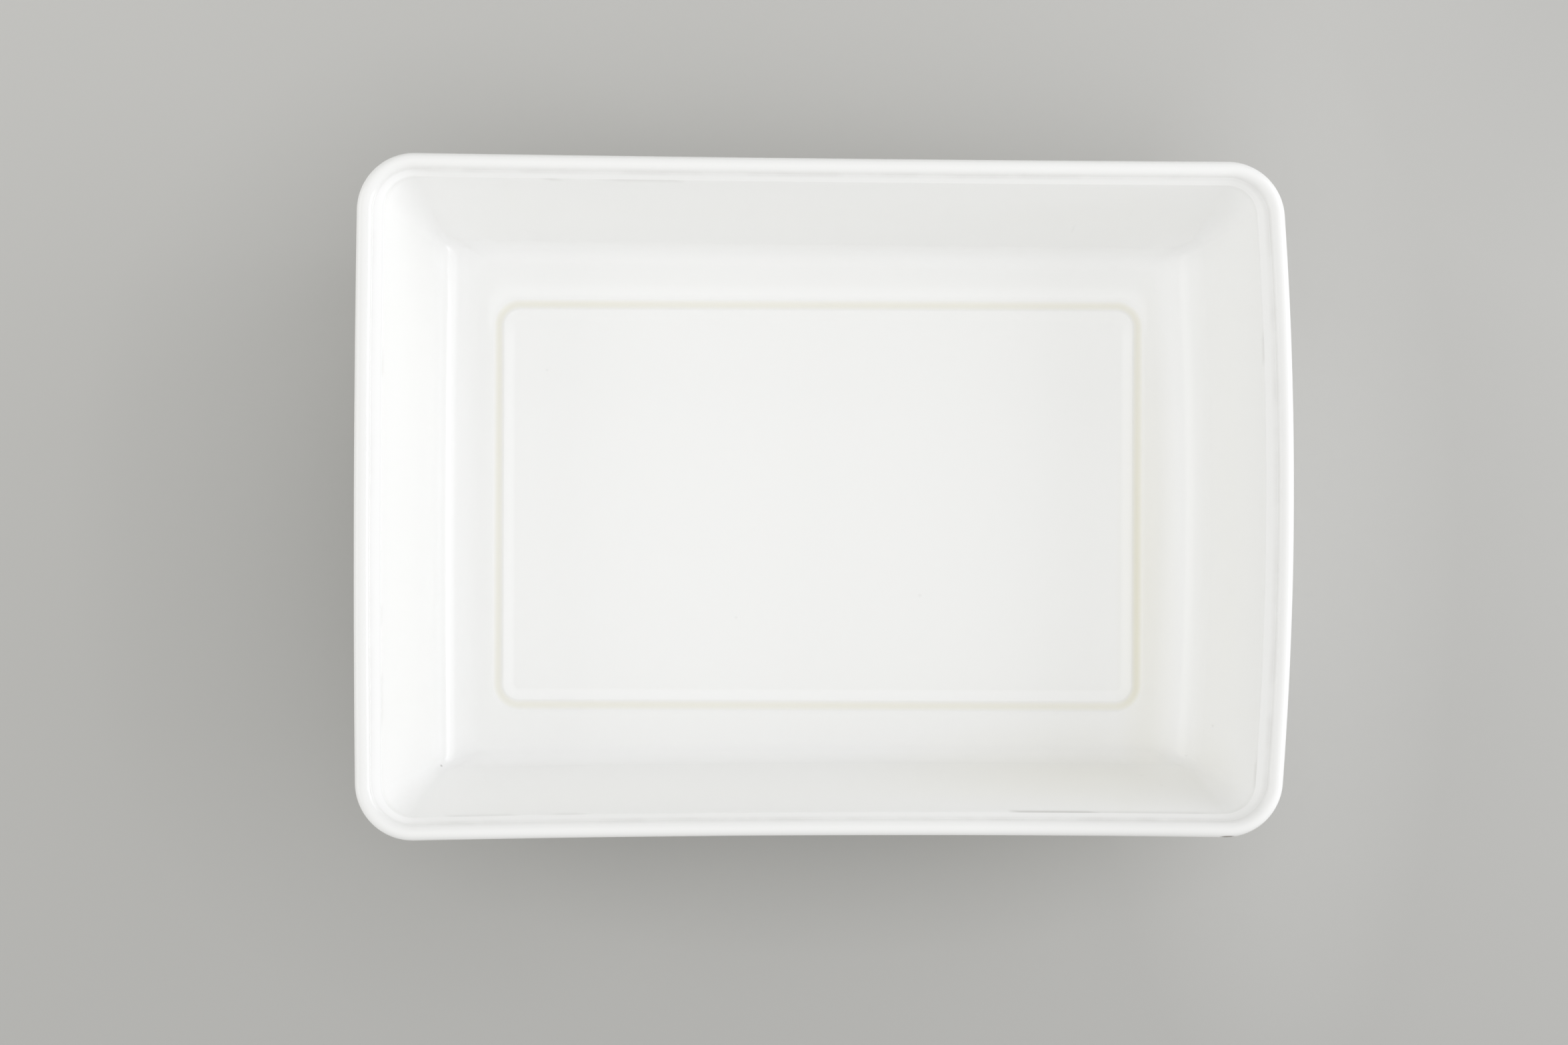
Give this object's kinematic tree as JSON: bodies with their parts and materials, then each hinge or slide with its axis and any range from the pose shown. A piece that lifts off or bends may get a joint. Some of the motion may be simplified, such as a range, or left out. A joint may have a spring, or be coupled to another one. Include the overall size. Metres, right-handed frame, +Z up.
{
  "type": "baking dish",
  "caption": "Rectangular white glazed stoneware baking dish with a round bead and inner ledge at the rim, tapered walls, coved floor with a sunk panel and a foot ring.",
  "frame": {"origin": "centre of the dish seen from above, on the surface that its foot ring stands on", "axes": "+X along the length to the right end, +Y from front to back, +Z up"},
  "size_m": [0.3398, 0.2488, 0.064],
  "materials": {
    "white_glaze": "gloss"
  },
  "bodies": {
    "root": {"baking_dish": "white_glaze"}
  },
  "joints": []
}
